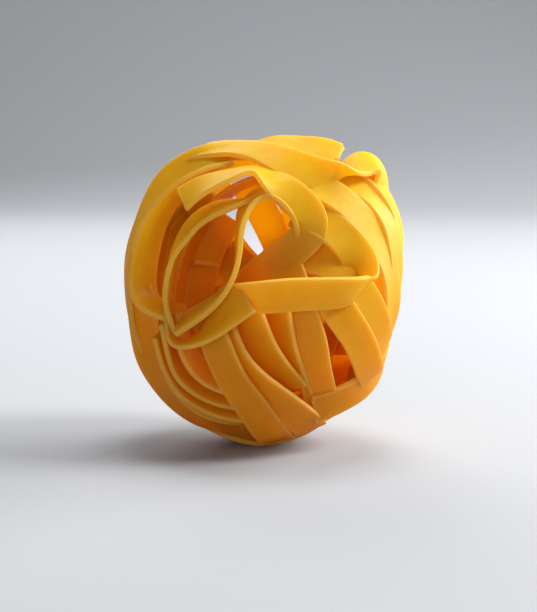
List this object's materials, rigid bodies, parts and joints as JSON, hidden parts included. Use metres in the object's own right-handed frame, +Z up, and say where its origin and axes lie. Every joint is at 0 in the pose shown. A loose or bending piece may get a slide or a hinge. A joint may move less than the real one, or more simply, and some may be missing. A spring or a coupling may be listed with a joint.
{
  "type": "dry pasta nest",
  "caption": "Loose round nest of dry, flat pasta ribbons, hollow inside and open at the front, resting on a small pressed flat.",
  "frame": {"origin": "on the surface the nest rests on, below the middle of its bounding box", "axes": "+Z up, the nest's open mouth faces -Y, +X to the right seen from the front"},
  "size_m": [0.0621, 0.0561, 0.0684],
  "materials": {
    "pasta": "dry semolina pasta, golden, slightly translucent, satin"
  },
  "bodies": {
    "root": {"pasta_nest": "pasta"}
  },
  "joints": []
}
